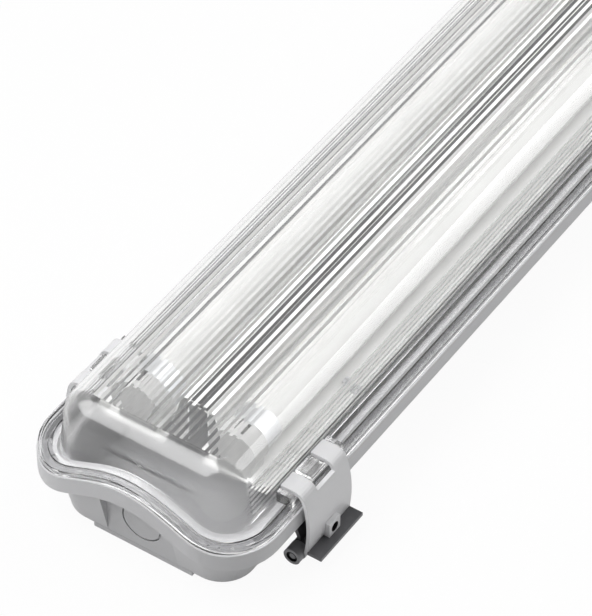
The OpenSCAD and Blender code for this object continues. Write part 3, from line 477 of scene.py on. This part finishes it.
def add_seats(vertices, faces):
    """Adds the latches' seats: each a pad with a ridge on it and a cheek at both ends."""
    for x in (-LATCH_X, 0.0, LATCH_X):
        for side in (-1, 1):
            add_box(vertices, faces, side, (x - PAD_HALF, x + PAD_HALF), PAD_FRONT, (SEAT_LOW, PAD_TOP))
            add_box(vertices, faces, side, (x - RIDGE_HALF, x + RIDGE_HALF), RIDGE_FRONT,
                    (RIDGE_LOW, RIDGE_TOP))
            for end in (-1, 1):
                middle = x + end * CHEEK_OUT
                add_box(vertices, faces, side, (middle - CHEEK_HALF, middle + CHEEK_HALF), CHEEK_FRONT,
                        (SEAT_LOW, CHEEK_TOP))


def clear_plastic(name, roughness, tint):
    """Clear polycarbonate that lets light through its shadow and turns rougher at the ends."""
    material, tree, shader, out = node_tree(name)
    shader.inputs["Base Color"].default_value = (tint, tint, tint, 1.0)
    shader.inputs["IOR"].default_value = REFRACTION
    shader.inputs["Transmission Weight"].default_value = 1.0
    place = tree.nodes.new("ShaderNodeTexCoord")
    parts = tree.nodes.new("ShaderNodeSeparateXYZ")
    tree.links.new(place.outputs["Object"], parts.inputs["Vector"])
    frost = tree.nodes.new("ShaderNodeMapRange")
    frost.inputs["From Min"].default_value = FROST_FROM
    frost.inputs["From Max"].default_value = FROST_FROM + FROST_FADE
    frost.inputs["To Min"].default_value = CLEAR_ROUGHNESS
    frost.inputs["To Max"].default_value = roughness
    tree.links.new(reckon(tree, "ABSOLUTE", parts.outputs["X"]), frost.inputs["Value"])
    tree.links.new(frost.outputs["Result"], shader.inputs["Roughness"])
    clear = tree.nodes.new("ShaderNodeBsdfTransparent")
    path = tree.nodes.new("ShaderNodeLightPath")
    mix = tree.nodes.new("ShaderNodeMixShader")
    tree.links.new(path.outputs["Is Shadow Ray"], mix.inputs["Fac"])
    tree.links.new(shader.outputs["BSDF"], mix.inputs[1])
    tree.links.new(clear.outputs["BSDF"], mix.inputs[2])
    tree.links.new(mix.outputs["Shader"], out.inputs["Surface"])
    return material


def build_lens():
    """The whole lens as one object, with its prisms and ribs flat and the rest smooth."""
    vertices = []
    faces = []
    frosted, ribbed = add_shells(vertices, faces)
    first_prism = len(faces)
    add_prisms(vertices, faces)
    past_prisms = len(faces)
    add_seats(vertices, faces)
    mesh = bpy.data.meshes.new("lens_clear")
    mesh.from_pydata(vertices, [], faces)
    mesh.validate()
    mesh.update()
    built = bpy.data.objects.new("lens_clear", mesh)
    bpy.context.scene.collection.objects.link(built)
    for face in mesh.polygons:
        face.use_smooth = True
    mesh.set_sharp_from_angle(angle=LENS_SHARP_ANGLE)
    mesh.materials.append(clear_plastic("clear_plastic", CLEAR_ROUGHNESS, CLEAR_TINT))
    # The ends' copy has a darker grey tint, which is painted shade on the end caps.
    mesh.materials.append(clear_plastic("frosted_shaded_plastic", FROST_ROUGHNESS, FROST_SHADE_TINT))
    for i in frosted:
        mesh.polygons[i].material_index = 1
    for i in ribbed + list(range(first_prism, past_prisms)):
        mesh.polygons[i].use_smooth = False
    return built


lens = build_lens()
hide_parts("lens")
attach(lens, "root")

# Studio. A plain white floor under a white sky, a large soft box overhead and one on
# each side, which draw the bright bands on the lens's shoulders.

FLOOR_HALF = 9
FLOOR_DROP = 0.0005
FLOOR_WHITE = 0.8
FLOOR_ROUGHNESS = 0.9
FLOOR_GLOW = 0.94
SKY_LOW = 0.05
SKY_HIGH = 0.28
SKY_HIGH_AT = 0.75

floor_mesh = bpy.data.meshes.new("floor")
floor_mesh.from_pydata([(-FLOOR_HALF, -FLOOR_HALF, 0), (FLOOR_HALF, -FLOOR_HALF, 0),
                        (FLOOR_HALF, FLOOR_HALF, 0), (-FLOOR_HALF, FLOOR_HALF, 0)], [], [(0, 1, 2, 3)])
floor = bpy.data.objects.new("floor", floor_mesh)
bpy.context.scene.collection.objects.link(floor)
floor.location.z = -FLOOR_DROP
floor_material, tree, shader, out = node_tree("floor_white")
shader.inputs["Base Color"].default_value = (FLOOR_WHITE, FLOOR_WHITE, FLOOR_WHITE, 1.0)
shader.inputs["Roughness"].default_value = FLOOR_ROUGHNESS
glow = tree.nodes.new("ShaderNodeEmission")
glow.inputs["Strength"].default_value = 1.0
path = tree.nodes.new("ShaderNodeLightPath")
seen = highest(tree, path.outputs["Is Camera Ray"], path.outputs["Is Glossy Ray"],
               path.outputs["Is Transmission Ray"])
mix = tree.nodes.new("ShaderNodeMixShader")
tree.links.new(reckon(tree, "MULTIPLY", seen, FLOOR_GLOW), mix.inputs["Fac"])
tree.links.new(shader.outputs["BSDF"], mix.inputs[1])
tree.links.new(glow.outputs["Emission"], mix.inputs[2])
tree.links.new(mix.outputs["Shader"], out.inputs["Surface"])
floor_mesh.materials.append(floor_material)

world = bpy.data.worlds.new("studio")
bpy.context.scene.world = world
world.use_nodes = True
tree = world.node_tree
sky = tree.nodes["Background"]
place = tree.nodes.new("ShaderNodeTexCoord")
parts = tree.nodes.new("ShaderNodeSeparateXYZ")
ramp = tree.nodes.new("ShaderNodeValToRGB")
ramp.color_ramp.elements[0].position = 0.0
ramp.color_ramp.elements[0].color = (SKY_LOW, SKY_LOW, SKY_LOW, 1.0)
ramp.color_ramp.elements[1].position = SKY_HIGH_AT
ramp.color_ramp.elements[1].color = (SKY_HIGH, SKY_HIGH, SKY_HIGH, 1.0)
path = tree.nodes.new("ShaderNodeLightPath")
seen = highest(tree, path.outputs["Is Camera Ray"], path.outputs["Is Glossy Ray"])
mix = tree.nodes.new("ShaderNodeMix")
mix.data_type = "RGBA"
mix.inputs["B"].default_value = (1.0, 1.0, 1.0, 1.0)
tree.links.new(place.outputs["Generated"], parts.inputs["Vector"])
tree.links.new(parts.outputs["Z"], ramp.inputs["Fac"])
tree.links.new(seen, mix.inputs["Factor"])
tree.links.new(ramp.outputs["Color"], mix.inputs["A"])
tree.links.new(mix.outputs["Result"], sky.inputs["Color"])
sky.inputs["Strength"].default_value = 1.0


def soft_box(name, place, aim, size, power):
    """A rectangular soft light that faces a point."""
    light = bpy.data.lights.new(name, "AREA")
    light.shape = "RECTANGLE"
    light.size, light.size_y = size
    light.energy = power
    lamp = bpy.data.objects.new(name, light)
    bpy.context.scene.collection.objects.link(lamp)
    lamp.location = place
    direction = [a - p for a, p in zip(aim, place)]
    lamp.rotation_euler = Vector(direction).to_track_quat("-Z", "Y").to_euler()


soft_box("box_over", (-0.5, 0.1, 2.0), (-0.5, 0, 0), (2.2, 1.4), 3)
soft_box("box_right", (0.95, -1.0, 1.35), (-0.2, 0, 0.05), (1.8, 1.5), 18)
soft_box("box_left", (-1.3, 0.8, 1.7), (-0.6, 0, 0.05), (1.6, 1.7), 36)

# Camera. It stands off the near end with a long lens, 45 degrees up and 56 degrees
# round from the fixture's cross direction, and puts the top of the near rim's arch at
# one fixed point of the picture.

AZIMUTH = math.radians(-56)
ELEVATION = math.radians(45)
FOCAL_PX = 3700.0
DISTANCE = 2.067
FRAME_PX = (592, 616)
SENSOR_WIDTH = 36.0
AIM_POINT = Vector((-HALF_LENGTH, 0.0, 0.064))
AIM_PX = (122.0, 493.6)

right = Vector((math.cos(AZIMUTH), math.sin(AZIMUTH), 0.0))
ahead = Vector((-math.sin(AZIMUTH) * math.cos(ELEVATION), math.cos(AZIMUTH) * math.cos(ELEVATION),
                -math.sin(ELEVATION)))
up = right.cross(ahead)
offset_right = (AIM_PX[0] - FRAME_PX[0] / 2) / FOCAL_PX * DISTANCE
offset_down = (AIM_PX[1] - FRAME_PX[1] / 2) / FOCAL_PX * DISTANCE
camera_data = bpy.data.cameras.new("camera")
camera_data.sensor_width = SENSOR_WIDTH
camera_data.lens = FOCAL_PX / FRAME_PX[1] * SENSOR_WIDTH
camera = bpy.data.objects.new("camera", camera_data)
bpy.context.scene.collection.objects.link(camera)
place = AIM_POINT - ahead * DISTANCE - right * offset_right + up * offset_down
camera.matrix_world = Matrix((
    (right.x, up.x, -ahead.x, place.x),
    (right.y, up.y, -ahead.y, place.y),
    (right.z, up.z, -ahead.z, place.z),
    (0.0, 0.0, 0.0, 1.0)))
bpy.context.scene.camera = camera
bpy.context.scene.view_settings.view_transform = "Standard"
